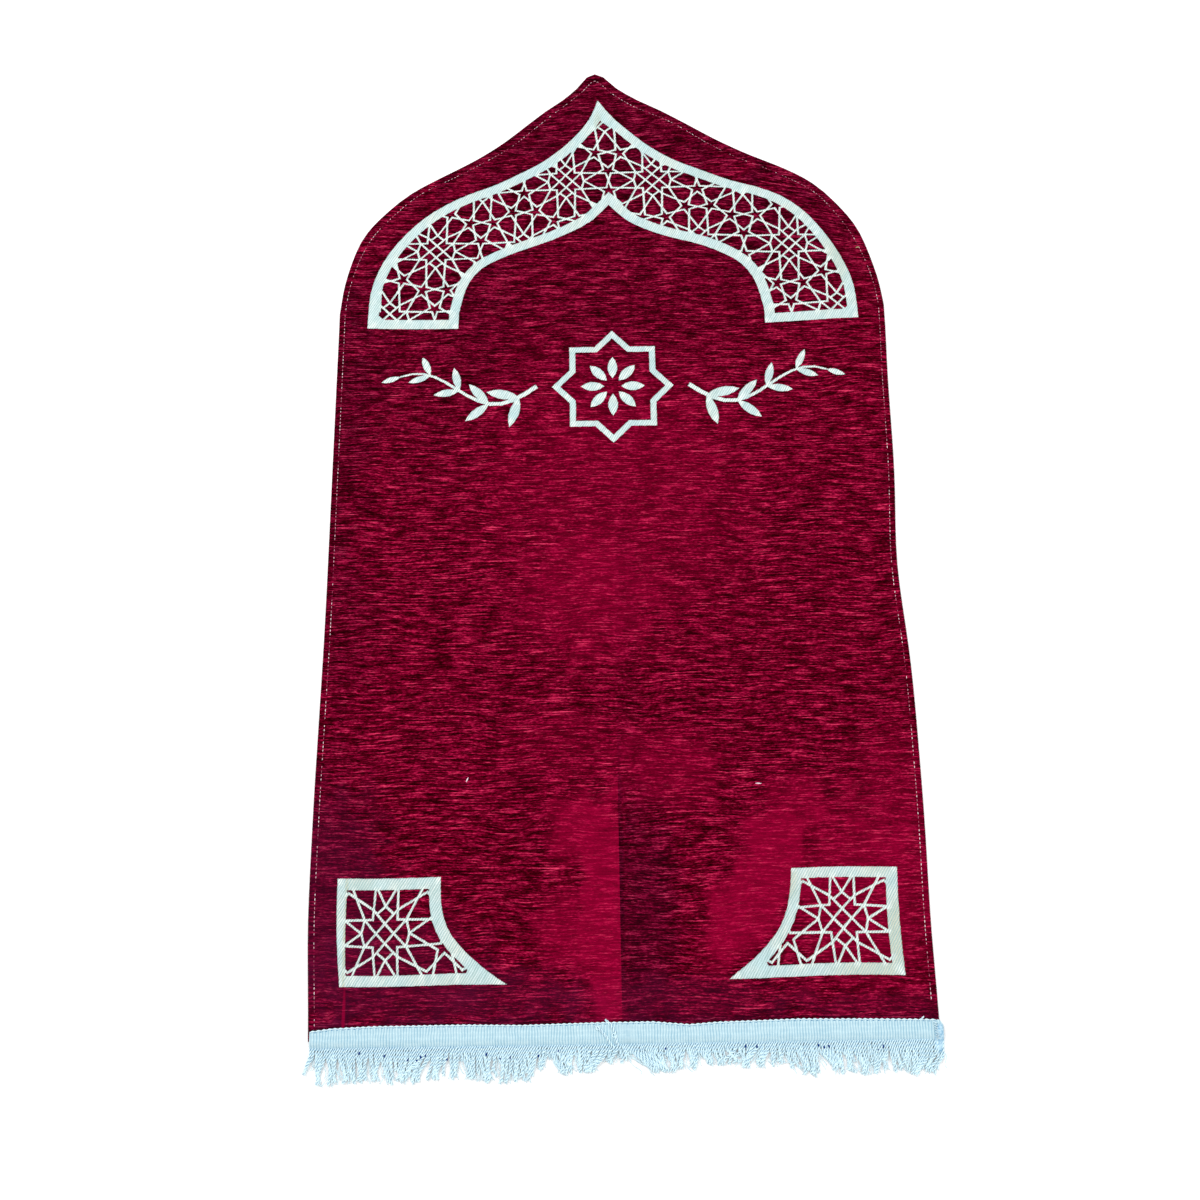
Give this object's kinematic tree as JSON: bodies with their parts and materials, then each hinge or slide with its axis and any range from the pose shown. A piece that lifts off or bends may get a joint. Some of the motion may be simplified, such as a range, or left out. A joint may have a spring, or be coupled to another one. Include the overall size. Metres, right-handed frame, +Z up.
{
  "type": "prayer rug",
  "caption": "Prayer rug cut to a pointed arch: one cloth with a woven lattice band and corner pieces, and a fringe trim along its lower end.",
  "frame": {"origin": "middle of the whole rug's outline, on the floor under it", "axes": "+X across the rug to the right, +Y along it towards the arch, +Z up from the floor"},
  "size_m": [0.6926, 1.2632, 0.0054],
  "materials": {
    "chenille_red": "matt pile",
    "figure_mint": "matt twill",
    "trim_blue": "soft sheen"
  },
  "bodies": {
    "root": {"rug_cloth": "chenille_red", "fringe_trim": "trim_blue"}
  },
  "joints": []
}
